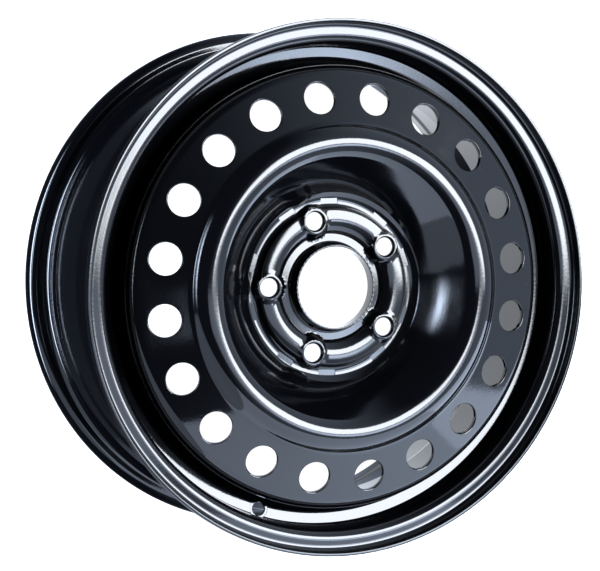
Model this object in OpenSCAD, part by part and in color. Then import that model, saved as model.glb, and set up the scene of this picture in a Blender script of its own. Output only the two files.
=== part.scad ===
// Pressed steel road wheel: a rolled drop-centre rim, a deep-drawn disc and the weld beads between them.
// The wheel's axis is Z, its outer face looks along +Z and its hub mounting face lies in the plane z = 0.
// A sheet is given as the path of its middle line: points [radius, height, bend radius].

/* [Rim] */
// Diameter at which the tyre's beads sit
bead_seat_d = 405.6; // [380.2:25.4:431]
// Width between the two bead faces
rim_width = 165.1; // [152.4:12.7:190.5]
// Distance of the hub face from the rim's centreline, towards the outer side
wheel_offset = 55; // [50:1:58]
// Thickness of the rolled strip
rim_t = 2.3; // [2:0.1:2.8]
// Height of the flanges above the bead seat
flange_h = 17.3; // [16.5:0.1:18]
// Reach of a flange from its bead face to the end of its lip
lip_reach = 13; // [12.5:0.1:14]
// Drop of the lip's end below the top of the flange
lip_drop = 0.5; // [0.2:0.1:0.8]
// Radius of the lip's roll on the tyre's side
lip_roll = 8; // [7.5:0.1:9]
// Radius between a bead face and its seat on the tyre's side
heel_radius = 6.5; // [5:0.5:7]
// Slope of the bead seats in degrees
seat_slope = 5; // [4:0.5:6]
// Width of a bead seat from its bead face to the safety hump
seat_width = 19; // [18:0.5:21]
// Height of the safety humps above the bead seat
hump_h = 1.2; // [0.8:0.1:1.6]
// Distance from the foot of a hump to its top
hump_w = 4.5; // [4:0.5:6]
// Depth of the well below the bead seat
well_depth = 17.3; // [16:0.1:18.5]
// Distance from the outer bead face to the start of the well's floor
well_start = 33.5; // [32:0.5:36]
// Width of the well's floor between its corners
well_width = 38; // [36:1:46]
// Length of the slope from the well up to the inner ledge
ledge_run = 22; // [18:1:28]
// Depth of the inner ledge's start below the bead seat
ledge_drop = 4; // [3:0.5:6]

/* [Valve hole] */
// Diameter of the hole for the tyre valve
valve_hole_d = 11.3; // [8.3:0.1:15.7]
// Diameter of the flat pressed round the valve hole
valve_flat_d = 16.5; // [16:0.5:20]
// Depth of the flat round the valve hole
valve_flat_depth = 0.4; // [0.3:0.1:0.6]
// Place of the valve hole on the well's side wall, from its top (0) to its foot (1)
valve_share = 0.49; // [0.46:0.01:0.54]
// Direction of the valve hole round the wheel, in degrees
valve_angle = 252; // [0:1:359]

/* [Disc] */
// Thickness of the disc's sheet
disc_t = 3.5; // [3:0.1:4]
// Clearance between the disc's skirt and the well's floor
skirt_gap = 0.1; // [0.05:0.05:0.2]
// Depth of the skirt's edge below the hub face
skirt_end = 33; // [30:0.5:36]
// Radius of the corner between the vent ring and the skirt, at mid sheet
skirt_corner = 10; // [8:0.5:12]
// Slope of the vent ring in degrees
vent_slope = 14; // [10:0.5:18]
// Height of the vent holes' centres above the hub face, at mid sheet
vent_height = 32.4; // [30:0.1:34]
// Radius at which the crown's flank meets the vent ring
vent_ring_start = 134.2; // [133.5:0.1:135]
// Radius of the blend between the crown's flank and the vent ring
flank_blend = 10; // [8:0.5:11]
// Slope of the crown's outer flank in degrees
flank_slope = 49; // [46:0.5:51]
// Radius of the crown's bend at mid sheet
crown_bend = 15; // [12:0.5:16]
// Radius at which the bowl's wall meets the hub's rising band
bowl_foot = 80; // [79:0.1:81]
// Slope of the bowl's wall near its foot, in degrees
bowl_slope = 53; // [51:0.5:55]
// Radius from which the wall rises less steeply
wall_ease_r = 93; // [91:0.5:95]
// Slope of the wall's upper part in degrees
upper_slope = 49; // [47:0.5:51]
// Radius of the bend at the foot of the bowl's wall, at mid sheet
bowl_foot_bend = 5; // [4:0.5:7]

/* [Vent holes] */
// Number of vent holes
vent_count = 20; // [10:1:24]
// Diameter of a vent hole
vent_d = 26.3; // [20:0.1:28]
// Radius of the circle of vent holes
vent_circle_r = 156.1; // [154:0.1:158]

/* [Hub] */
// Diameter of the centre bore
bore_d = 67.1; // [60.1:0.1:72.6]
// Slope at which the sheet turns down towards the bore, in degrees
bore_slope = 30; // [24:1:34]
// Radial width of the sheet that turns down towards the bore
bore_lead = 4.5; // [4:0.1:5]
// Diameter of the bolt circle
bolt_circle_d = 114.3; // [112:0.1:115]
// Number of lug holes
lug_count = 5; // [4:1:6]
// Diameter of a lug hole
lug_hole_d = 15; // [12.5:0.1:16]
// Diameter of the nut's seat at its wide end
lug_seat_d = 20.6; // [20:0.1:22]
// Included angle of the nut's conical seat
lug_seat_angle = 60; // [60:1:90]
// Height of the nut seats' top above the hub face
lug_seat_top = 12.6; // [12:0.1:13.2]
// Width of the rim round a nut seat
lug_seat_rim = 0.9; // [0.6:0.1:1.5]
// Diameter of the round pad pressed at each lug hole
lug_pad_d = 31; // [28:0.5:33]
// Height of the lug pads above the hub face
lug_pad_top = 9.4; // [9:0.1:10]
// Diameter of the hollow under a lug pad
lug_hollow_d = 17.5; // [17:0.1:18]
// Height of the plateau round the bore above the hub face
plateau_top = 12.8; // [12:0.1:13.5]
// Radius of the plateau's highest ring
crest_r = 40.8; // [40.6:0.1:41.4]
// Slope of the plateau from that ring to its edge, in degrees
crest_slope = 18; // [12:1:22]
// Radius of the plateau's edge
plateau_r = 44.2; // [44:0.1:45]
// Radial width of the plateau's side wall
plateau_fall = 3.6; // [3:0.1:4.5]
// Radius of the plateau's bends at mid sheet
plateau_bend = 3.4; // [2.8:0.1:3.8]
// Height of the ridge on the bolt circle above the hub face
ridge_top = 12; // [11:0.1:12.5]
// Radius of the ridge's round back
ridge_bend = 9.2; // [8.5:0.1:9.8]
// Radius at which the band between hub and bowl starts to rise
band_start = 68; // [67.5:0.1:68.5]
// Slope of that band in degrees
band_slope = 22; // [20:0.5:24]
// Radius at which the flats struck into the band lie
flat_r = 72.4; // [71.5:0.1:73]
// Angle of a struck flat from its lug hole, in degrees
flat_angle = 16; // [14:0.5:20]
// Length of a struck flat round the wheel
flat_length = 15; // [10:0.5:18]
// Width of a struck flat along the band's slope
flat_width = 6; // [5:0.5:7]
// Depth of a struck flat
flat_depth = 0.6; // [0.4:0.1:0.8]

/* [Welds] */
// Length of a weld bead in degrees of arc
weld_arc = 58; // [30:1:80]
// Leg of a weld bead on the skirt's edge and on the well
weld_leg = 3.3; // [2.5:0.1:3.4]

/* [Hidden] */
$fn = 180;
paint = "#15161a";
weld_paint = "#1b1c20";
eps = 0.01;
arc_step = 6;
weld_count = 4;

// Rim: radii and heights at mid strip
seat_r = bead_seat_d / 2;
outer_face_z = rim_width / 2 - wheel_offset;
inner_face_z = -rim_width / 2 - wheel_offset;
lip_roll_mid = lip_roll - rim_t / 2;
lip_mid_r = seat_r + flange_h - rim_t / 2 + lip_drop * lip_roll_mid / (lip_reach - rim_t / 2);
heel_mid_r = seat_r - rim_t / 2;
hump_foot_r = heel_mid_r - seat_width * tan(seat_slope);
well_mid_r = seat_r - well_depth - rim_t / 2;
well_floor_r = well_mid_r - rim_t / 2;
well_top_z = outer_face_z - well_start;
well_end_z = well_top_z - well_width;
hump_bend = 5;
well_bend = 7;
well_ramp_bend = 9;
ledge_bend = 14;

// Disc: radii and heights at mid sheet
land_mid_z = disc_t / 2;
plateau_mid_z = plateau_top - disc_t / 2;
bore_r = bore_d / 2;
bore_bend = 5;
crest_bend = 5;
band_bend = 6;
wall_ease = 200;
foot_mid_z = land_mid_z + (bowl_foot - band_start) * tan(band_slope);
wall_ease_z = foot_mid_z + (wall_ease_r - bowl_foot) * tan(bowl_slope);
flat_mid_z = land_mid_z + (flat_r - band_start) * tan(band_slope);
skirt_mid_r = well_floor_r - skirt_gap - disc_t / 2;
bolt_r = bolt_circle_d / 2;
ridge_mid_z = ridge_top - ridge_bend;
lug_step = 360 / lug_count;
lug_angle = 180;
vent_step = 360 / vent_count;
vent_angle = lug_angle + vent_step / 2;

// Height of the vent ring's cone at a radius
function vent_cone_z(r) = vent_height + (vent_circle_r - r) * tan(vent_slope);

// Radius where the bowl's wall would meet the crown's flank
crown_r = (vent_cone_z(vent_ring_start) + vent_ring_start * tan(flank_slope) - wall_ease_z
    + wall_ease_r * tan(upper_slope)) / (tan(upper_slope) + tan(flank_slope));
crown_z = wall_ease_z + (crown_r - wall_ease_r) * tan(upper_slope);

// One end of the rim from the lip to the hump's top, for a bead face at height z that looks along side
function flange_path(z, side) = [
    [lip_mid_r - lip_drop, z + side * lip_reach, 0],
    [lip_mid_r, z + side * rim_t / 2, lip_roll_mid],
    [heel_mid_r, z + side * rim_t / 2, heel_radius + rim_t / 2],
    [hump_foot_r, z - side * seat_width, hump_bend],
    [hump_foot_r + hump_h, z - side * (seat_width + hump_w), hump_bend],
];

function reversed(list) = [for (i = [len(list) - 1 : -1 : 0]) list[i]];

rim_path = concat(
    flange_path(outer_face_z, 1),
    [
        [well_mid_r, well_top_z, well_bend],
        [well_mid_r, well_end_z, well_ramp_bend],
        [seat_r - ledge_drop - rim_t / 2, well_end_z - ledge_run, ledge_bend],
    ],
    reversed(flange_path(inner_face_z, -1))
);

disc_path = [
    [bore_r - disc_t, plateau_mid_z - (bore_lead + disc_t) * tan(bore_slope), 0],
    [bore_r + bore_lead, plateau_mid_z, bore_bend],
    [crest_r, plateau_mid_z, crest_bend],
    [plateau_r, plateau_mid_z - (plateau_r - crest_r) * tan(crest_slope), plateau_bend],
    [plateau_r + plateau_fall, land_mid_z, plateau_bend],
    [band_start, land_mid_z, band_bend],
    [bowl_foot, foot_mid_z, bowl_foot_bend],
    [wall_ease_r, wall_ease_z, wall_ease],
    [crown_r, crown_z, crown_bend],
    [vent_ring_start, vent_cone_z(vent_ring_start), flank_blend],
    [skirt_mid_r, vent_cone_z(skirt_mid_r), skirt_corner],
    [skirt_mid_r, -skirt_end, 0],
];

// Valve hole: the well's side wall runs from the outer hump's top to the well's floor
side_wall_top = point(rim_path, 4);
side_wall_foot = point(rim_path, 5);
side_wall_run = side_wall_foot - side_wall_top;
valve_centre = side_wall_top + side_wall_run * valve_share;
valve_tilt = atan2(-side_wall_run[1], -side_wall_run[0]);

// Sheet paths: the direction of each stretch and the start and centre of each bend
function unit(v) = v / norm(v);
function point(path, i) = [path[i][0], path[i][1]];
function stretch(path, i) = unit(point(path, i + 1) - point(path, i));
function left_of(v) = [-v[1], v[0]];
function turned(v, angle) = [v[0] * cos(angle) - v[1] * sin(angle), v[0] * sin(angle) + v[1] * cos(angle)];
function turn(path, i) = acos(stretch(path, i - 1) * stretch(path, i));
function turn_side(path, i) = sign(cross(stretch(path, i - 1), stretch(path, i)));
function bend_start(path, i) = point(path, i) - stretch(path, i - 1) * path[i][2] * tan(turn(path, i) / 2);
function bend_centre(path, i) =
    point(path, i) + unit(stretch(path, i) - stretch(path, i - 1)) * path[i][2] / cos(turn(path, i) / 2);

// Arc of bend i, moved to the left of the path by shift
function bend_arc(path, i, shift) =
    let (
        centre = bend_centre(path, i),
        spoke = unit(bend_start(path, i) - centre) * (path[i][2] - turn_side(path, i) * shift),
        steps = ceil(turn(path, i) / arc_step)
    )
    [for (k = [0 : steps]) centre + turned(spoke, turn_side(path, i) * turn(path, i) * k / steps)];

// The whole path, moved to its left by shift
function shifted(path, shift) =
    let (last = len(path) - 1)
    concat(
        [point(path, 0) + left_of(stretch(path, 0)) * shift],
        [for (i = [1 : last - 1]) each bend_arc(path, i, shift)],
        [point(path, last) + left_of(stretch(path, last - 1)) * shift]
    );

// Section of a bent sheet of thickness t along a path
module sheet_section(path, t) {
    polygon(concat(shifted(path, t / 2), reversed(shifted(path, -t / 2))));
}

// The disc's section: the drawn sheet with the hollow ridge that stands up along the bolt circle
module disc_section() {
    difference() {
        union() {
            sheet_section(disc_path, disc_t);
            intersection() {
                translate([bolt_r, ridge_mid_z]) circle(ridge_bend);
                translate([bolt_r - ridge_bend, 0]) square([2 * ridge_bend, ridge_top]);
            }
        }
        translate([bolt_r, ridge_mid_z]) circle(ridge_bend - disc_t);
    }
}

module at_lugs() {
    for (i = [0 : lug_count - 1]) rotate([0, 0, lug_angle + i * lug_step]) translate([bolt_r, 0, 0]) children();
}

module at_vents() {
    for (i = [0 : vent_count - 1])
        rotate([0, 0, vent_angle + i * vent_step])
            translate([vent_circle_r, 0, vent_height])
                rotate([0, vent_slope, 0]) children();
}

// Rounded-off boss that carries a nut's conical seat
module seat_boss() {
    top_r = lug_seat_d / 2 + lug_seat_rim;
    foot_r = top_r + (lug_seat_top - lug_pad_top) * tan(lug_seat_angle / 2) / 2;
    translate([0, 0, lug_pad_top - eps]) cylinder(r1 = foot_r, r2 = top_r, h = lug_seat_top - lug_pad_top + eps);
}

module lug_opening() {
    cone_h = (lug_seat_d - lug_hole_d) / 2 / tan(lug_seat_angle / 2);
    translate([0, 0, -disc_t]) cylinder(d = lug_hole_d, h = lug_seat_top + 2 * disc_t);
    translate([0, 0, lug_seat_top - cone_h]) cylinder(d1 = lug_hole_d, d2 = lug_seat_d, h = cone_h);
}

// Flat struck into the rising band, on each side of every lug hole
module struck_flats() {
    for (i = [0 : lug_count - 1], side = [-1, 1])
        rotate([0, 0, lug_angle + i * lug_step + side * flat_angle])
            translate([flat_r, 0, flat_mid_z])
                rotate([0, -band_slope, 0])
                    translate([-flat_width / 2, -flat_length / 2, disc_t / 2 - flat_depth])
                        cube([flat_width, flat_length, disc_t]);
}

module rim() {
    color(paint) difference() {
        rotate_extrude() sheet_section(rim_path, rim_t);
        rotate([0, 0, valve_angle]) translate([valve_centre[0], 0, valve_centre[1]]) rotate([0, -valve_tilt, 0]) {
            translate([0, 0, -2 * rim_t]) cylinder(d = valve_hole_d, h = 4 * rim_t);
            translate([0, 0, rim_t / 2 - valve_flat_depth]) cylinder(d = valve_flat_d, h = rim_t);
        }
    }
}

module disc() {
    pad_under = lug_pad_top - disc_t;
    color(paint) difference() {
        union() {
            difference() {
                rotate_extrude() disc_section();
                at_lugs() translate([0, 0, lug_pad_top]) cylinder(d = lug_pad_d, h = plateau_top);
            }
            at_lugs() translate([0, 0, pad_under]) cylinder(d = lug_pad_d, h = disc_t);
            at_lugs() seat_boss();
        }
        struck_flats();
        at_lugs() lug_opening();
        at_lugs() translate([0, 0, -disc_t]) cylinder(d = lug_hollow_d, h = disc_t + pad_under);
        at_vents() translate([0, 0, -2 * disc_t]) cylinder(d = vent_d, h = 4 * disc_t);
        cylinder(r = bore_r, h = 2 * plateau_top);
    }
}

// Round bead in the corner between the skirt's edge and the well's floor
module weld_bead(i) {
    color(weld_paint)
        rotate([0, 0, (i - 1) * 360 / weld_count - weld_arc / 2])
            rotate_extrude(angle = weld_arc)
                intersection() {
                    translate([well_floor_r, -skirt_end]) circle(weld_leg);
                    translate([well_floor_r - weld_leg, -skirt_end - weld_leg]) square(weld_leg);
                }
}

rim();
disc();
weld_bead(1);  // weld_bead_1
weld_bead(2);  // weld_bead_2
weld_bead(3);  // weld_bead_3
weld_bead(4);  // weld_bead_4
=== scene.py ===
# %% [markdown]
# # A pressed steel road wheel
# A steel wheel is two pieces of sheet. The rim is a strip that is rolled into a hoop with two flanges and a
# drop centre, and the disc is a plate that is drawn in a press. Arc welds join them behind the disc, and
# one coat of gloss black paint covers it all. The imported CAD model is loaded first, and every piece made
# here stands in its place, in metres, with the wheel's axis along Z and its outer face up.

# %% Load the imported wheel
import math

import bmesh
import bpy
import numpy as np
from mathutils import Matrix, Vector


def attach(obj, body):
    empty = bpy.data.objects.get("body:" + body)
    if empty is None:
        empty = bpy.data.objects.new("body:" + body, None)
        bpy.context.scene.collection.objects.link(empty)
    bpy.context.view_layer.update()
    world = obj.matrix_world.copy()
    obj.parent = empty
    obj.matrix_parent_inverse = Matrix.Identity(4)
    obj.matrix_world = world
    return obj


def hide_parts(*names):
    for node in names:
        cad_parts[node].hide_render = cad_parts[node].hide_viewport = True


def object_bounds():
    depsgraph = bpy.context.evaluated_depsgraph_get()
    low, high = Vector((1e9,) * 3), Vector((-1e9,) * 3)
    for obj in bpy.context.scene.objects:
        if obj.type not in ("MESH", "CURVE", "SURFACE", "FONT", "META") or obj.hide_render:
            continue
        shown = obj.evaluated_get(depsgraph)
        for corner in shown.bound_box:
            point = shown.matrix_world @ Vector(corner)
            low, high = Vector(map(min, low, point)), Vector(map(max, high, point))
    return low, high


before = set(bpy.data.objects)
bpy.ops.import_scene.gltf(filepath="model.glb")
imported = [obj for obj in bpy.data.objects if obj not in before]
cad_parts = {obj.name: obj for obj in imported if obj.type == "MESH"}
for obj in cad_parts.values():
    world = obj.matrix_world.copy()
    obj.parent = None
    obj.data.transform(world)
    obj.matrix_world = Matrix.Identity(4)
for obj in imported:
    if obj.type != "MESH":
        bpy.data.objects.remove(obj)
cad_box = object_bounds()
MM = 0.001
print("CAD box", cad_box)

# %% [markdown]
# ## Camera and floor
# The wheel lies on its inner flange and the camera looks down on its face, a little from the left, so the
# floor is the whole background. Camera and floor come first, because they show at once whether a shape sits
# where the photograph has it. The paint doesn't mirror the floor, which would turn the barrel's side grey.

# %% Camera
PHOTO_WIDTH = 600
FOCAL_PIXELS = 1976.976
SENSOR_WIDTH = 36.0
CAMERA_PLACE = (-0.65257, 0.07707, 1.51310)
CAMERA_RIGHT = (0.92400, 0.01927, 0.38190)
CAMERA_UP = (0.0, 0.99873, -0.05040)
CAMERA_BACK = (-0.38238, 0.04657, 0.92283)
WHEEL_TURN = 0.4

stand = Matrix((CAMERA_RIGHT, CAMERA_UP, CAMERA_BACK)).transposed().to_4x4()
stand.translation = CAMERA_PLACE
bpy.ops.object.camera_add()
camera = bpy.context.active_object
camera.name = "camera"
camera.matrix_world = Matrix.Rotation(math.radians(-WHEEL_TURN), 4, "Z") @ stand
camera.data.sensor_fit = "HORIZONTAL"
camera.data.sensor_width = SENSOR_WIDTH
camera.data.lens = FOCAL_PIXELS / PHOTO_WIDTH * SENSOR_WIDTH
bpy.context.scene.camera = camera
print("lens", round(camera.data.lens, 2))

# %% Floor
FLOOR_SIZE = 8.0
bpy.ops.object.select_all(action="DESELECT")
bpy.ops.mesh.primitive_plane_add(size=FLOOR_SIZE, location=(0, 0, cad_box[0][2]))
floor = bpy.context.active_object
floor.name = "floor"
bpy.ops.object.transform_apply(location=True, rotation=False, scale=False)
floor.visible_glossy = False
print("floor at", round(cad_box[0][2], 4))

# %% [markdown]
# ## Drawing a bent sheet
# Both pieces are sheet of one thickness, so each starts as the path of the middle of its sheet: corner
# points with a radius, a height and a bend radius, in millimetres. The path is moved half a thickness to
# each side and its corners become arcs. Both sides together are the outline that is spun round the axis.

# %% Paths
def unit(vector):
    return vector / np.linalg.norm(vector)


def sheet_side(path, shift, arc_step, gap):
    """The path moved to its left by shift, with arcs at the bends and no stretch longer than gap"""
    corners = np.array([corner[:2] for corner in path], float)
    ways = [unit(after - before) for before, after in zip(corners, corners[1:])]
    lefts = [np.array((-way[1], way[0])) for way in ways]
    points = [corners[0] + lefts[0] * shift]
    for i in range(1, len(path) - 1):
        turn = math.acos(np.clip(ways[i - 1] @ ways[i], -1, 1))
        side = np.sign(ways[i - 1][0] * ways[i][1] - ways[i - 1][1] * ways[i][0])
        bend = path[i][2]
        start = corners[i] - ways[i - 1] * bend * math.tan(turn / 2)
        centre = start + lefts[i - 1] * side * bend
        steps = max(2, math.ceil(math.degrees(turn) / arc_step))
        for k in range(steps + 1):
            angle = side * turn * k / steps
            spoke = -lefts[i - 1] * side * (bend - side * shift)
            c, s = math.cos(angle), math.sin(angle)
            points.append(centre + (spoke[0] * c - spoke[1] * s, spoke[0] * s + spoke[1] * c))
    points.append(corners[-1] + lefts[-1] * shift)
    filled = [points[0]]
    for before, after in zip(points, points[1:]):
        parts = max(1, math.ceil(np.linalg.norm(after - before) / gap))
        filled += [before + (after - before) * k / parts for k in range(1, parts + 1)]
    return np.array(filled)


# %% [markdown]
# ## Drawing and spinning an outline
# A circle with one vertex for each point of the outline is added, and its vertices are laid on those points
# in the XZ plane. Spin then sweeps the outline round the axis. A full turn ends where it began, so the
# doubles at the seam are merged and the normals are turned outwards before anything else is done.

# %% Outline and spin
def draw_outline(name, points):
    """A new object with a closed outline of (radius, height) points in millimetres, left in edit mode"""
    bpy.ops.object.select_all(action="DESELECT")
    bpy.ops.mesh.primitive_circle_add(vertices=len(points), radius=MM, fill_type="NOTHING")
    piece = bpy.context.active_object
    piece.name = name
    piece.data.name = name
    for vertex, point in zip(piece.data.vertices, points):
        vertex.co = (point[0] * MM, 0, point[1] * MM)
    bpy.ops.object.mode_set(mode="EDIT")
    bpy.ops.mesh.select_all(action="SELECT")
    return piece


def spin_outline(piece, steps, angle=360.0, sectors=1):
    """Spin the drawn outline through one sector about Z, repeat the sector, and leave edit mode"""
    sector = math.radians(angle / sectors)
    axis = {"center": (0, 0, 0), "axis": (0, 0, 1)}
    bpy.ops.mesh.spin(steps=steps // sectors, angle=sector, **axis)
    bpy.ops.mesh.select_all(action="SELECT")
    if sectors > 1:
        bpy.ops.mesh.spin(steps=sectors - 1, angle=sector * (sectors - 1), dupli=True, **axis)
        bpy.ops.mesh.select_all(action="SELECT")
    bpy.ops.mesh.remove_doubles(threshold=1e-6)
    bpy.ops.mesh.dissolve_degenerate(threshold=1e-7)
    bpy.ops.mesh.normals_make_consistent(inside=False)
    bpy.ops.object.mode_set(mode="OBJECT")
    print(piece.name, len(piece.data.polygons), "faces")


def cut(piece, cutters):
    """Join the cutters into one object and cut it out of the piece"""
    bpy.ops.object.select_all(action="DESELECT")
    for cutter in cutters:
        cutter.select_set(True)
    bpy.context.view_layer.objects.active = cutters[0]
    if len(cutters) > 1:
        bpy.ops.object.join()
    tool = bpy.context.view_layer.objects.active
    bpy.ops.object.transform_apply(location=True, rotation=True, scale=True)
    bpy.ops.object.select_all(action="DESELECT")
    bpy.context.view_layer.objects.active = piece
    piece.select_set(True)
    modifier = piece.modifiers.new("cut", "BOOLEAN")
    modifier.operation = "DIFFERENCE"
    modifier.solver = "MANIFOLD"
    modifier.object = tool
    bpy.ops.object.modifier_apply(modifier="cut")
    bpy.data.objects.remove(tool)
    print(piece.name, "cut:", len(piece.data.polygons), "faces")


def copies_at(tool, places):
    """One copy of a tool, with its own mesh, at each place; the first place takes the tool itself"""
    copies = [tool]
    for place in places[1:]:
        copy = tool.copy()
        copy.data = tool.data.copy()
        bpy.context.collection.objects.link(copy)
        copies.append(copy)
    for copy, place in zip(copies, places):
        copy.matrix_world = place
    return copies


def smooth(piece, angle):
    """Smooth shading, led by the large faces, with an edge where they turn by more than the angle"""
    bpy.ops.object.select_all(action="DESELECT")
    bpy.context.view_layer.objects.active = piece
    piece.select_set(True)
    bpy.ops.object.shade_smooth_by_angle(angle=math.radians(angle))
    modifier = piece.modifiers.new("weigh", "WEIGHTED_NORMAL")
    modifier.keep_sharp = True
    bpy.ops.object.modifier_apply(modifier="weigh")


# %% [markdown]
# ## Rim
# From the lip of the outer flange the strip runs over the bead seat and its safety hump to a shelf, then
# into the well, up to the inner ledge and out to the inner flange. Rolling gives it one section all the way
# round, so spin is the natural tool.

# %% Rim sizes
RIM_T = 2.3
SEAT_R = 202.8
OUTER_FACE = 27.55
INNER_FACE = -137.55
LIP_REACH = 13.0
LIP_DROP = 0.5
LIP_ROLL = 8 - RIM_T / 2
FLANGE_H = 17.2
LIP_R = SEAT_R + FLANGE_H - RIM_T / 2 + LIP_DROP * LIP_ROLL / (LIP_REACH - RIM_T / 2)
HEEL_BEND = 6.5 + RIM_T / 2
SEAT_WIDTH = 19.0
SEAT_SLOPE = math.radians(5)
HUMP_FOOT_R = SEAT_R - RIM_T / 2 - SEAT_WIDTH * math.tan(SEAT_SLOPE)
HUMP_RISE = 1.2
HUMP_RUN = 4.5
WELL_DEPTH = 17.3
WELL_R = SEAT_R - WELL_DEPTH - RIM_T / 2
WELL_FLOOR_R = WELL_R - RIM_T / 2
WELL_OFFSET = 33.5
WELL_WIDTH = 38.0
WELL_TOP = OUTER_FACE - WELL_OFFSET
WELL_EASE = 2.5
WELL_END = WELL_TOP - WELL_WIDTH
SHELF_TOP = -0.8
SHELF_DROP = 1.95
SHELF_R = 189.6
LEDGE_RUN = 22.0
LEDGE_DROP = 4.0


def flange_path(face, side):
    """One end of the strip, from its lip to the top of its safety hump"""
    return [
        (LIP_R - LIP_DROP, face + side * LIP_REACH, 0),
        (LIP_R, face + side * RIM_T / 2, LIP_ROLL),
        (SEAT_R - RIM_T / 2, face + side * RIM_T / 2, HEEL_BEND),
        (HUMP_FOOT_R, face - side * SEAT_WIDTH, 5),
        (HUMP_FOOT_R + HUMP_RISE, face - side * (SEAT_WIDTH + HUMP_RUN), 5),
    ]


rim_path = flange_path(OUTER_FACE, 1)
rim_path += [(HUMP_FOOT_R, SHELF_TOP, 2.6), (SHELF_R, SHELF_TOP - SHELF_DROP, 5)]
rim_path += [(WELL_R, WELL_TOP - WELL_EASE, 4.5), (WELL_R, WELL_END, 9)]
rim_path += [(SEAT_R - LEDGE_DROP - RIM_T / 2, WELL_END - LEDGE_RUN, 14)]
rim_path += flange_path(INNER_FACE, -1)[::-1]
print("rim path of", len(rim_path), "corners")

# %% Rim
RIM_STEPS = 288
LIP_EDGE = 0.5


def eased_end(side_a, side_b, edge):
    """Two points that round off the strip's cut end between its two sides"""
    a, b = side_a[0], side_b[0]
    in_a = unit(side_a[1] - a)
    across = unit(b - a)
    side_a[0] = a + in_a * edge
    side_b[0] = b + in_a * edge
    soft = edge * 0.3
    near_a = a + across * soft + in_a * soft
    near_b = b - across * soft + in_a * soft
    return [near_a, a + across * edge, b - across * edge, near_b]


inside = sheet_side(rim_path, RIM_T / 2, 6, 9)
outside = sheet_side(rim_path, -RIM_T / 2, 6, 9)
start_cap = eased_end(inside, outside, LIP_EDGE)
inside, outside = inside[::-1], outside[::-1]
end_cap = eased_end(inside, outside, LIP_EDGE)
inside, outside = inside[::-1], outside[::-1]
rim_outline = np.array(list(inside) + end_cap + list(outside[::-1]) + start_cap[::-1])
rim = draw_outline("wheel_rim", rim_outline)
spin_outline(rim, RIM_STEPS, sectors=12)

# %% [markdown]
# The valve hole is punched through the shelf beside the well, and a flat is struck round it for the valve's
# rubber foot. Both come from one spun cutter: a pin with a wider, slightly tapered head.

# %% Valve hole
VALVE_SHARE = 0.62
VALVE_ANGLE = 252
VALVE_D = 11.3
VALVE_FLAT_D = 16.5
VALVE_FLAT_DEPTH = 0.2

wall_top = np.array(rim_path[5][:2])
wall_run = np.array(rim_path[6][:2]) - wall_top
valve_place = wall_top + wall_run * VALVE_SHARE
valve_tilt = math.atan2(-wall_run[1], -wall_run[0])
flat_level = RIM_T / 2 - VALVE_FLAT_DEPTH
valve_profile = [
    (0, -8), (VALVE_D / 2, -8), (VALVE_D / 2, flat_level - 0.4), (VALVE_D / 2 + 0.4, flat_level),
    (VALVE_FLAT_D / 2 - 0.5, flat_level), (VALVE_FLAT_D / 2 + 0.5, flat_level + 1.0),
    (VALVE_FLAT_D / 2 + 0.5, 8), (0, 8),
]
valve_pin = draw_outline("valve_pin", valve_profile)
spin_outline(valve_pin, 48)
valve_pin.matrix_world = (
    Matrix.Rotation(math.radians(VALVE_ANGLE), 4, "Z")
    @ Matrix.Translation((valve_place[0] * MM, 0, valve_place[1] * MM))
    @ Matrix.Rotation(-valve_tilt, 4, "Y")
)
cut(rim, [valve_pin])
smooth(rim, 40)

# %% [markdown]
# ## Disc
# The disc is the piece that takes the most skill. Its outer part is round, so it is spun like the rim. The
# hub is pressed into a relief that repeats at each lug hole: a neck round the bore, a ridge along the bolt
# circle and bosses for the nuts. The sheet is spun with many rings there and then pressed, which means that
# each vertex of the hub takes its height from one function of its place, as in a die.

# %% Disc sizes
DISC_T = 3.5
BORE_R = 33.55
BOLT_R = 57.15
LUG_COUNT = 5
LUG_ANGLE = 180.0
VENT_COUNT = 20
VENT_D = 26.3
VENT_R = 156.1
VENT_HEIGHT = 32.4
VENT_SLOPE = math.radians(14)
VENT_RING_START = 134.2
FLANK_SLOPE = math.radians(49)
BOWL_FOOT = 80.0
BOWL_SLOPE = math.radians(53)
WALL_EASE_R = 93.0
UPPER_SLOPE = math.radians(49)
WALL_BEND = 200.0
CROWN_BEND = 15.1
NECK_TOP = 16.0
LAND_MID = DISC_T / 2
BAND_START = 68.0
BAND_SLOPE = math.radians(22)
SKIRT_R = WELL_FLOOR_R - 0.1 - DISC_T / 2
SKIRT_END = -33.0


def vent_cone(radius):
    return VENT_HEIGHT + (VENT_R - radius) * math.tan(VENT_SLOPE)


foot_mid = LAND_MID + (BOWL_FOOT - BAND_START) * math.tan(BAND_SLOPE)
flank_level = vent_cone(VENT_RING_START) + VENT_RING_START * math.tan(FLANK_SLOPE)
wall_ease_z = foot_mid + (WALL_EASE_R - BOWL_FOOT) * math.tan(BOWL_SLOPE)
wall_level = wall_ease_z - WALL_EASE_R * math.tan(UPPER_SLOPE)
crown_r = (flank_level - wall_level) / (math.tan(UPPER_SLOPE) + math.tan(FLANK_SLOPE))
crown_z = wall_level + crown_r * math.tan(UPPER_SLOPE)
disc_path = [
    (BORE_R - DISC_T, LAND_MID, 0),
    (BAND_START, LAND_MID, 6),
    (BOWL_FOOT, foot_mid, 5),
    (WALL_EASE_R, wall_ease_z, WALL_BEND),
    (crown_r, crown_z, CROWN_BEND),
    (VENT_RING_START, vent_cone(VENT_RING_START), 10),
    (SKIRT_R, vent_cone(SKIRT_R), 10),
    (SKIRT_R, SKIRT_END, 0),
]
print("crown at", round(crown_r, 1), round(crown_z, 1))

# %% Disc blank
DISC_STEPS = 340
PRESSED_R = 83.0

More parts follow.
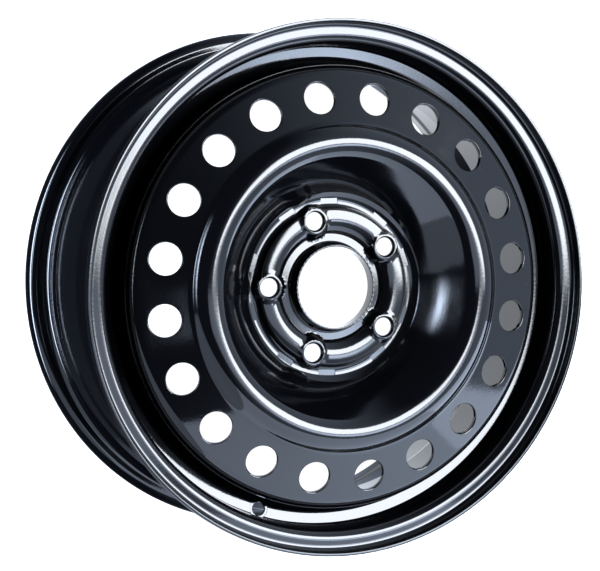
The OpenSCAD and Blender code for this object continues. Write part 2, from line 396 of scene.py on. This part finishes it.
front = sheet_side(disc_path, DISC_T / 2, 5, 4)
back = sheet_side(disc_path, -DISC_T / 2, 8, 6)
front_fine = sheet_side(disc_path, DISC_T / 2, 2, 0.4)
back_fine = sheet_side(disc_path, -DISC_T / 2, 2, 0.4)


def level_on(side, radius):
    """Height of one side of the sheet at a radius inside the crown"""
    climb = side[: np.argmax(side[:, 1])]
    return np.interp(radius, climb[:, 0], climb[:, 1])


front_rings = np.concatenate([
    np.arange(BORE_R + 0.5, 38.8, 0.35), np.arange(38.8, 43.6, 1.2), np.arange(43.6, 48.0, 0.5),
    np.arange(48.0, 63.0, 0.9), np.arange(63.0, 79.5, 0.55), np.arange(79.5, PRESSED_R, 0.9),
])
back_rings = np.concatenate([
    np.arange(BORE_R, 39.6, 1.0), np.arange(40.0, 43.0, 1.5), np.arange(43.0, 50.0, 0.9),
    np.arange(50.0, 63.0, 1.6), np.arange(63.0, 70.0, 0.8), np.arange(70.0, PRESSED_R + 2, 2.5),
])
hub_front = np.column_stack([front_rings, level_on(front_fine, front_rings)])
hub_back = np.column_stack([back_rings, level_on(back_fine, back_rings)])
outer_front = front[(front[:, 0] > front_rings[-1] + 1)]
outer_back = back[(back[:, 0] > back_rings[-1] + 1)]
bore_edge = [(BORE_R + 0.12, NECK_TOP - 0.18), (BORE_R, NECK_TOP - 0.55)]
disc_outline = np.array(
    bore_edge[::-1] + list(hub_front) + list(outer_front) + list(outer_back[::-1]) + list(hub_back[::-1])
)
disc = draw_outline("wheel_disc", disc_outline)
spin_outline(disc, DISC_STEPS, sectors=20)

# %% [markdown]
# ## Pressing the hub
# A pressed sheet has no sharp inner corners: where two forms meet, the metal flows round a small radius.
# Two helpers give that: the higher of two levels, or the lower, with a soft corner of a chosen width.

# %% Soft corners
def higher(a, b, soft):
    blend = np.maximum(soft - np.abs(a - b), 0) / soft
    return np.maximum(a, b) + blend * blend * soft / 4


def lower(a, b, soft):
    return -higher(-a, -b, soft)


def to_nearest_lug(x, y):
    """Distance to the nearest lug hole's centre"""
    step = 2 * math.pi / LUG_COUNT
    angle = np.arctan2(y, x) - math.radians(LUG_ANGLE)
    angle = (angle + step / 2) % step - step / 2
    radius = np.hypot(x, y)
    across = radius * np.sin(angle)
    along = radius * np.cos(angle) - BOLT_R
    return np.hypot(across, along)


# %% [markdown]
# Round the bore the sheet is turned up into a short neck with a rough cut edge. Outside the flat land that
# sits on the hub, a ridge runs round the bolt circle. Its inner half is round, its outer half is nearly
# level and drops steeply to a valley, where flats are struck. Each lug hole stands in a boss on the ridge.

# %% Neck and valley
NECK = [
    (30.0, NECK_TOP), (35.0, NECK_TOP), (35.3, NECK_TOP - 0.3), (36.3, 5.6),
    (36.9, 4.6), (37.8, 4.05), (38.8, 3.85), (60.0, 3.3),
]
VALLEY_R = 71.0
VALLEY_LOW = 5.0
VALLEY_ROUND = 9.5
VALLEY_START = 62.0
VALLEY_END = 78.8

hub_radii = np.arange(BORE_R - 3, 90.0, 0.1)
hub_line = level_on(front_fine, hub_radii)
on_neck = hub_radii < NECK[-1][0]
hub_line[on_neck] = np.interp(hub_radii[on_neck], *zip(*NECK))
in_valley = (hub_radii > VALLEY_START) & (hub_radii < VALLEY_END)
hub_line[in_valley] = VALLEY_LOW + (hub_radii[in_valley] - VALLEY_R) ** 2 / (2 * VALLEY_ROUND)
weights = np.exp(-np.linspace(-2, 2, 11) ** 2)
hub_line[20:-20] = np.convolve(hub_line, weights / weights.sum(), "same")[20:-20]
print("valley from", VALLEY_START, "to", VALLEY_END)

# %% Ridge
RIDGE_R = 57.0
RIDGE_TOP = 12.0
INNER_ROUND = 17.5
INNER_RUN = 7.0
INNER_SLOPE = 26
INNER_FOOT = (46.2, 8.7)
INNER_FOOT_SLOPE = 70
OUTER_ROUND = 38.0
OUTER_RUN = 14.0
OUTER_EDGE = (7.6, 0.9)
OUTER_FOOT_SLOPE = 68


def slope(degrees):
    return math.tan(math.radians(degrees))


def ridge_level(radius):
    """Section of the ridge: a round inner half with a straight end, a flat outer half and steep feet"""
    away = np.abs(radius - RIDGE_R)
    inner = RIDGE_TOP - INNER_ROUND + np.sqrt(INNER_ROUND ** 2 - np.minimum(away, INNER_RUN) ** 2)
    inner = inner - np.maximum(away - INNER_RUN, 0) * slope(INNER_SLOPE)
    inner_foot = INNER_FOOT[1] + (radius - INNER_FOOT[0]) * slope(INNER_FOOT_SLOPE)
    outer = RIDGE_TOP - OUTER_ROUND + np.sqrt(OUTER_ROUND ** 2 - np.minimum(away, OUTER_RUN) ** 2)
    outer_edge = RIDGE_TOP - OUTER_EDGE[1]
    outer_foot = outer_edge - (radius - RIDGE_R - OUTER_EDGE[0]) * slope(OUTER_FOOT_SLOPE)
    return np.where(radius < RIDGE_R, lower(inner, inner_foot, 0.8), lower(outer, outer_foot, 0.9))


print("ridge top at", round(float(ridge_level(np.array(RIDGE_R))), 2))

# %% Relief of the hub
SEAT_TOP = 12.55
BOSS_R = 10.9
BOSS_LIP = 0.8
BOSS_LIP_SLOPE = 9
BOSS_SLOPES = (57, 67)
PAD_R = 14.0
PAD_RISE = 0.5
PAD_SLOPE = 8
CUT_EDGE_R = 35.2
CUT_ROUGHNESS = 0.12
HUB_T = 4.0
BORE_ROUND = 6.0
BORE_ROUND_REACH = 5.9
BACK_JOIN_R = 78.0


def pressed_front(x, y):
    radius = np.hypot(x, y)
    angle = np.arctan2(y, x)
    lug = to_nearest_lug(x, y)
    base = np.interp(radius, hub_radii, hub_line)
    rough = CUT_ROUGHNESS * np.sin(83 * angle) * np.sin(31 * angle + 1.3)
    base += np.where(radius < CUT_EDGE_R, rough, 0)
    ridge = ridge_level(radius) + np.clip((PAD_R - lug) * slope(PAD_SLOPE), 0, PAD_RISE)
    steep = np.where(radius < BOLT_R, slope(BOSS_SLOPES[0]), slope(BOSS_SLOPES[1]))
    boss = SEAT_TOP - np.maximum(lug - BOSS_R + BOSS_LIP, 0) * slope(BOSS_LIP_SLOPE)
    boss = boss - np.maximum(lug - BOSS_R, 0) * steep
    return higher(higher(base, ridge, 0.5), boss, 0.7)


def pressed_back(x, y):
    radius = np.hypot(x, y)
    bore_side = BORE_R + BORE_ROUND_REACH
    turned = BORE_ROUND - np.sqrt(BORE_ROUND ** 2 - np.clip(bore_side - radius, 0, BORE_ROUND_REACH) ** 2)
    sheet = np.maximum(pressed_front(x, y) - HUB_T, 0)
    sheet = np.where(radius < bore_side, turned, sheet)
    return np.where(radius > BACK_JOIN_R, level_on(back_fine, radius), sheet)


print("boss top at", round(float(pressed_front(np.array(-BOLT_R), np.array(0.0))), 2))

# %% Press the hub
count = len(disc.data.vertices)
values = np.empty(count * 3)
disc.data.vertices.foreach_get("co", values)
places = values.reshape(count, 3) / MM
radii = np.hypot(places[:, 0], places[:, 1])
middle = (level_on(front_fine, radii) + level_on(back_fine, radii)) / 2
on_front = (radii < front_rings[-1] + 0.1) & (radii > BORE_R + 0.4) & (places[:, 2] > middle)
on_back = (radii < back_rings[-1] + 0.1) & (places[:, 2] < middle) & (places[:, 2] > -2)
places[on_front, 2] = pressed_front(places[on_front, 0], places[on_front, 1])
places[on_back, 2] = pressed_back(places[on_back, 0], places[on_back, 1])
disc.data.vertices.foreach_set("co", (places * MM).reshape(-1))
disc.data.update()
print("pressed", int(on_front.sum()), "front and", int(on_back.sum()), "back vertices")

# %% [markdown]
# ## Punching the disc
# The vents, lug holes and struck flats are cut after the pressing, each with a cutter that has the shape of
# its edge: a vent's pin flares where the punch rolls the edge over, and a lug hole's pin has a nut's cone.

# %% Vent pins
VENT_ROLL = 1.1
face = DISC_T / 2
vent_profile = [
    (0, -9), (VENT_D / 2 + 0.5, -9), (VENT_D / 2 + 0.5, -face - 0.1), (VENT_D / 2, -face + 0.4),
]
for k in range(6):
    angle = math.radians(15 * k)
    roll_out = VENT_ROLL * (1 - math.cos(angle))
    roll_down = VENT_ROLL * (1 - math.sin(angle))
    vent_profile.append((VENT_D / 2 + roll_out, face - roll_down))
vent_profile += [(vent_profile[-1][0] + 1.2, face + 0.28), (vent_profile[-1][0] + 1.2, 9), (0, 9)]
vent_pin = draw_outline("vent_pin", vent_profile)
spin_outline(vent_pin, 64)
vent_places = [
    Matrix.Rotation(math.radians(LUG_ANGLE + 360 / VENT_COUNT * (k + 0.5)), 4, "Z")
    @ Matrix.Translation((VENT_R * MM, 0, VENT_HEIGHT * MM))
    @ Matrix.Rotation(VENT_SLOPE, 4, "Y")
    for k in range(VENT_COUNT)
]
cutters = copies_at(vent_pin, vent_places)

# %% Lug pins
LUG_HOLE_R = 7.5
NUT_R = 8.7
NUT_HALF_ANGLE = math.radians(30)
cone_end = SEAT_TOP - (NUT_R - LUG_HOLE_R) / math.tan(NUT_HALF_ANGLE)
lug_profile = [
    (0, -9), (LUG_HOLE_R, -9), (LUG_HOLE_R, cone_end - 0.3), (LUG_HOLE_R + 0.1, cone_end),
    (NUT_R, SEAT_TOP - 0.2), (NUT_R + 0.4, SEAT_TOP + 0.1), (NUT_R + 0.9, SEAT_TOP + 1.0),
    (0, SEAT_TOP + 9),
]
lug_pin = draw_outline("lug_pin", lug_profile)
spin_outline(lug_pin, 64)
lug_places = [
    Matrix.Rotation(math.radians(LUG_ANGLE + 360 / LUG_COUNT * k), 4, "Z")
    @ Matrix.Translation((BOLT_R * MM, 0, 0))
    for k in range(LUG_COUNT)
]
cutters += copies_at(lug_pin, lug_places)

# %% Flat punches
FLAT_R = 71.4
FLAT_SIZE = (4.8, 16.0)
FLAT_ANGLE = 16
FLAT_LEVEL = 4.5
bpy.ops.object.select_all(action="DESELECT")
bpy.ops.mesh.primitive_cube_add(size=MM)
flat_punch = bpy.context.active_object
flat_punch.name = "flat_punch"
flat_punch.scale = (FLAT_SIZE[0], FLAT_SIZE[1], 4)
flat_punch.location = (0, 0, 2 * MM)
bpy.ops.object.transform_apply(location=True, rotation=False, scale=True)
bpy.ops.object.mode_set(mode="EDIT")
bpy.ops.mesh.select_all(action="DESELECT")
punch_mesh = bmesh.from_edit_mesh(flat_punch.data)
for edge in punch_mesh.edges:
    ends = [vertex.co for vertex in edge.verts]
    edge.select = abs(ends[0].z - ends[1].z) > MM
bmesh.update_edit_mesh(flat_punch.data)
bpy.ops.mesh.bevel(offset=1.3 * MM, segments=4)
bpy.ops.mesh.select_all(action="DESELECT")
punch_mesh = bmesh.from_edit_mesh(flat_punch.data)
for polygon in punch_mesh.faces:
    polygon.select = polygon.normal.z < -0.9
bmesh.update_edit_mesh(flat_punch.data)
bpy.ops.transform.resize(value=(0.9, 0.95, 1.0))
bpy.ops.object.mode_set(mode="OBJECT")
flat_places = [
    Matrix.Rotation(math.radians(LUG_ANGLE + 360 / LUG_COUNT * k + side * FLAT_ANGLE), 4, "Z")
    @ Matrix.Translation((FLAT_R * MM, 0, FLAT_LEVEL * MM))
    for k in range(LUG_COUNT)
    for side in (-1, 1)
]
cutters += copies_at(flat_punch, flat_places)
cut(disc, cutters)
smooth(disc, 32)

# %% [markdown]
# ## Weld beads
# Four runs of arc weld fill the corner between the edge of the disc's skirt and the well. A bead is a
# quarter round with the ripples that the arc leaves, and it tapers where it starts and stops.

# %% Weld beads
WELD_LEG = 3.3
WELD_ARC = 58.0
WELD_STEPS = 232
WELD_TIP = 0.35
WELD_TAPER = 14
WELD_FILL = 0.92
RIPPLES = 58
RIPPLE_DEPTH = 0.05
weld_points = [(WELL_FLOOR_R, SKIRT_END)]
for k in range(9):
    angle = math.radians(180 + 90 * k / 8)
    weld_points.append((WELL_FLOOR_R + WELD_LEG * math.cos(angle), SKIRT_END + WELD_LEG * math.sin(angle)))
welds = []
for number in range(1, 5):
    bead = draw_outline("weld_%d" % number, weld_points)
    spin_outline(bead, WELD_STEPS, WELD_ARC)
    start = math.radians((number - 1) * 90 - WELD_ARC / 2)
    for vertex in bead.data.vertices:
        x, y, z = vertex.co / MM
        way = abs(math.atan2(y, x)) / math.radians(WELD_ARC)
        ends = min(1.0, WELD_TIP + WELD_TAPER * min(way, 1 - way))
        wave = math.sin(way * RIPPLES * 2 * math.pi) + 0.5 * math.sin(way * 37 + number)
        leg = math.hypot(math.hypot(x, y) - WELL_FLOOR_R, z - SKIRT_END) / WELD_LEG
        grow = 1 + leg * (ends * (WELD_FILL + RIPPLE_DEPTH * wave) - 1)
        radius = WELL_FLOOR_R + (math.hypot(x, y) - WELL_FLOOR_R) * grow
        turn = start + math.radians(WELD_ARC) * way
        height = SKIRT_END + (z - SKIRT_END) * grow
        vertex.co = (radius * math.cos(turn) * MM, radius * math.sin(turn) * MM, height * MM)
    smooth(bead, 50)
    welds.append(bead)
print(len(welds), "weld beads")

# %% [markdown]
# ## Shader maths
# Shader maths reads best as plain expressions. One small class wraps a socket, and the usual operators add
# the Math nodes.

# %% Sockets as values
class Wire:
    """An output socket that can be used in expressions"""

    def __init__(self, finish, socket):
        self.finish = finish
        self.socket = socket

    def maths(self, operation, *values):
        return self.finish.node("ShaderNodeMath", {"operation": operation}, dict(enumerate(values)))

    def __add__(self, other):
        return self.maths("ADD", self, other)

    def __radd__(self, other):
        return self.maths("ADD", other, self)

    def __mul__(self, other):
        return self.maths("MULTIPLY", self, other)

    def __rmul__(self, other):
        return self.maths("MULTIPLY", other, self)

    def ramp(self, low, high):
        settings = {"interpolation_type": "SMOOTHSTEP"}
        values = {"Value": self, "From Min": low, "From Max": high}
        return self.finish.node("ShaderNodeMapRange", settings, values)


class Finish:
    """A material and the nodes that make it"""

    def __init__(self, name):
        self.material = bpy.data.materials.new(name)
        self.material.use_nodes = True
        self.tree = self.material.node_tree
        self.shader = self.tree.nodes["Principled BSDF"]
        coordinates = self.tree.nodes.new("ShaderNodeTexCoord")
        self.place = Wire(self, coordinates.outputs["Object"])

    def node(self, kind, settings, values, output=0):
        made = self.tree.nodes.new(kind)
        for key, value in settings.items():
            setattr(made, key, value)
        for key, value in values.items():
            if isinstance(value, Wire):
                self.tree.links.new(value.socket, made.inputs[key])
            else:
                made.inputs[key].default_value = value
        return Wire(self, made.outputs[output])

    def noise(self, scale, detail):
        values = {"Vector": self.place, "Scale": scale, "Detail": detail}
        return self.node("ShaderNodeTexNoise", {}, values)

    def cells(self, scale):
        values = {"Vector": self.place, "Scale": scale}
        return self.node("ShaderNodeTexVoronoi", {}, values, "Distance")

    def mix(self, share, low, high):
        made = self.tree.nodes.new("ShaderNodeMix")
        made.data_type = "RGBA"
        for socket, value in zip((made.inputs[0], made.inputs[6], made.inputs[7]), (share, low, high)):
            if isinstance(value, Wire):
                self.tree.links.new(value.socket, socket)
            else:
                socket.default_value = value
        return Wire(self, made.outputs[2])

    def set(self, **values):
        for key, value in values.items():
            socket = self.shader.inputs[key.replace("_", " ")]
            if isinstance(value, Wire):
                self.tree.links.new(value.socket, socket)
            else:
                socket.default_value = value


# %% [markdown]
# ## Paint
# Dipped black paint is a thin gloss film. What shows is its mirror, broken a little by orange peel, dust
# under the film and fine handling scratches, so the work goes into the bump and the roughness.

# %% Gloss black paint
PAINT_BLACK = (0.0012, 0.0013, 0.0018, 1)
PAINT_DUST = (0.10, 0.105, 0.115, 1)


def gloss_black(name):
    paint = Finish(name)
    peel = paint.noise(420, 2.0) * 0.7 + paint.noise(1400, 1.0) * 0.3
    bump = paint.node("ShaderNodeBump", {}, {"Strength": 0.05, "Distance": 0.0005, "Height": peel})
    specks = paint.cells(260).ramp(0.05, 0.02)
    rare = paint.noise(38, 1.0).ramp(0.60, 0.66)
    dust = specks * rare
    haze = paint.noise(22, 3.0).ramp(0.35, 0.75)
    paint.set(
        Base_Color=paint.mix(dust, PAINT_BLACK, PAINT_DUST),
        Roughness=0.06 + 0.05 * haze + 0.35 * dust,
        Normal=bump,
        IOR=1.5,
    )
    return paint


rim_paint = gloss_black("rim_gloss_black")
disc_paint = gloss_black("disc_gloss_black")
weld_paint = gloss_black("weld_gloss_black")
print(len(weld_paint.tree.nodes), "nodes in each paint")

# %% [markdown]
# ## Pieces
# Each piece rides on the wheel's only body and stands for one node of the CAD model. The rim, the disc
# and the welds each have a paint material of their own.

# %% Pieces and their finishes
replaced = [(rim, "rim", "rim_paint", rim_paint), (disc, "disc", "disc_paint", disc_paint)]
replaced += [(bead, "weld_bead_%d" % (k + 1), "weld_paint", weld_paint) for k, bead in enumerate(welds)]
for piece, node, slot, finish in replaced:
    piece.data.materials.clear()
    piece.data.materials.append(finish.material)
    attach(piece, "root")
    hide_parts(node)
    piece.data.calc_loop_triangles()
    print(piece.name, "stands for", node, "with", len(piece.data.loop_triangles), "triangles")

# %% [markdown]
# The floor is white and glows by itself, so it stays even under the wheel and no light is spent on it.

# %% Floor finish
floor_finish = Finish("pale_floor")
floor_finish.set(
    Base_Color=(0.6, 0.6, 0.6, 1),
    Roughness=0.9,
    Emission_Color=(1, 1, 1, 1),
    Emission_Strength=1.0,
)
floor.data.materials.append(floor_finish.material)
print("floor finish", floor_finish.material.name)

# %% [markdown]
# ## Light
# Black gloss shows the studio and not itself, so the lights are laid out by what the paint mirrors: a large
# softbox to the right of the camera and two weaker ones below it, a narrow one and a tall strip far to the
# left, one inside the barrel that shows through the vents, and a white table below the wheel. The rest of
# the room is brighter on the right. A softbox states its glow, from which its power follows.

# %% Room
world = bpy.data.worlds.new("studio")
bpy.context.scene.world = world
world.use_nodes = True
room = world.node_tree
heading = room.nodes.new("ShaderNodeTexCoord")
parts = room.nodes.new("ShaderNodeSeparateXYZ")
room.links.new(heading.outputs["Generated"], parts.inputs[0])
sideways = room.nodes.new("ShaderNodeMapRange")
sideways.interpolation_type = "SMOOTHSTEP"
room.links.new(parts.outputs["X"], sideways.inputs["Value"])
for key, value in {"From Min": -0.14, "From Max": 0.66, "To Min": 0.035, "To Max": 1.15}.items():
    sideways.inputs[key].default_value = value
room.links.new(sideways.outputs[0], room.nodes["Background"].inputs["Strength"])
room.nodes["Background"].inputs["Color"].default_value = (0.82, 0.98, 1.25, 1)
bpy.context.scene.view_settings.view_transform = "Standard"
print(world.name, "with", len(room.nodes), "nodes")


# %% Softboxes
def softbox(name, place, target, size, glow, soft=0.0, tint=(1, 1, 1), up=(0, 1, 0)):
    """An area light of the given glow, whose edges fade out over the soft share of its half width"""
    bpy.ops.object.light_add(type="AREA", location=place)
    light = bpy.context.active_object
    light.name = name
    light.visible_camera = False
    light.data.shape = "RECTANGLE"
    light.data.size, light.data.size_y = size
    light.data.energy = glow * math.pi * size[0] * size[1]
    light.data.color = tint
    back = (Vector(place) - Vector(target)).normalized()
    right = Vector(up).cross(back).normalized()
    light.rotation_euler = Matrix((right, back.cross(right), back)).transposed().to_euler()
    if soft:
        light.data.use_nodes = True
        nodes, links = light.data.node_tree.nodes, light.data.node_tree.links
        across = nodes.new("ShaderNodeSeparateXYZ")
        links.new(nodes.new("ShaderNodeNewGeometry").outputs["Parametric"], across.inputs[0])
        shares = []
        for axis in ("X", "Y"):
            from_edge = nodes.new("ShaderNodeMath")
            from_edge.operation = "PINGPONG"
            from_edge.inputs[1].default_value = 0.5
            links.new(across.outputs[axis], from_edge.inputs[0])
            fade = nodes.new("ShaderNodeMapRange")
            fade.interpolation_type = "SMOOTHSTEP"
            fade.inputs["From Max"].default_value = soft / 2
            links.new(from_edge.outputs[0], fade.inputs["Value"])
            shares.append(fade.outputs[0])
        both = nodes.new("ShaderNodeMath")
        both.operation = "MULTIPLY"
        for number, share in enumerate(shares):
            links.new(share, both.inputs[number])
        links.new(both.outputs[0], nodes["Emission"].inputs["Strength"])
    print(name, "of", round(light.data.energy, 1), "W")


# %% Lights
COOL = (0.84, 0.99, 1.25)
CLEAR = (0.95, 1.0, 1.07)
softbox("key_box", (0.66, 0.26, 1.29), (0, 0, 0), (1.08, 0.72), 23, 0.3, CLEAR)
softbox("small_box", (0.58, -0.235, 1.25), (0, 0, 0), (0.34, 0.36), 11.0, 0.85, COOL)
softbox("low_box", (0.16, -0.20, 1.40), (0, 0, 0), (1.15, 0.30), 2.0, 0.3, COOL)
softbox("left_box", (-1.36, 0.26, 0.43), (0, 0, 0), (0.19, 1.25), 22, 0.9, COOL)
softbox("left_strip", (-1.45, 0.05, 0.04), (0, 0, 0), (0.36, 2.4), 34, 0.6, COOL)
softbox("under_box", (0, 0, cad_box[0][2] + MM), (0, 0, 1), (0.30, 0.30), 1.7, 0.0, CLEAR)
TABLE_LEVEL = -0.226
TABLE_REACH = (-0.06, 0.30)
TABLES = (
    ("table_left", -0.9, -0.15, 1.1),
    ("table_mid", -0.15, 0.25, 2.5),
    ("table_right", 0.25, 1.2, 4.4),
)
for name, left, right, glow in TABLES:
    centre = ((left + right) / 2, TABLE_LEVEL, sum(TABLE_REACH) / 2)
    above = (centre[0], 1.0, centre[2])
    size = (right - left, TABLE_REACH[1] - TABLE_REACH[0])
    softbox(name, centre, above, size, glow, tint=COOL, up=(0, 0, 1))
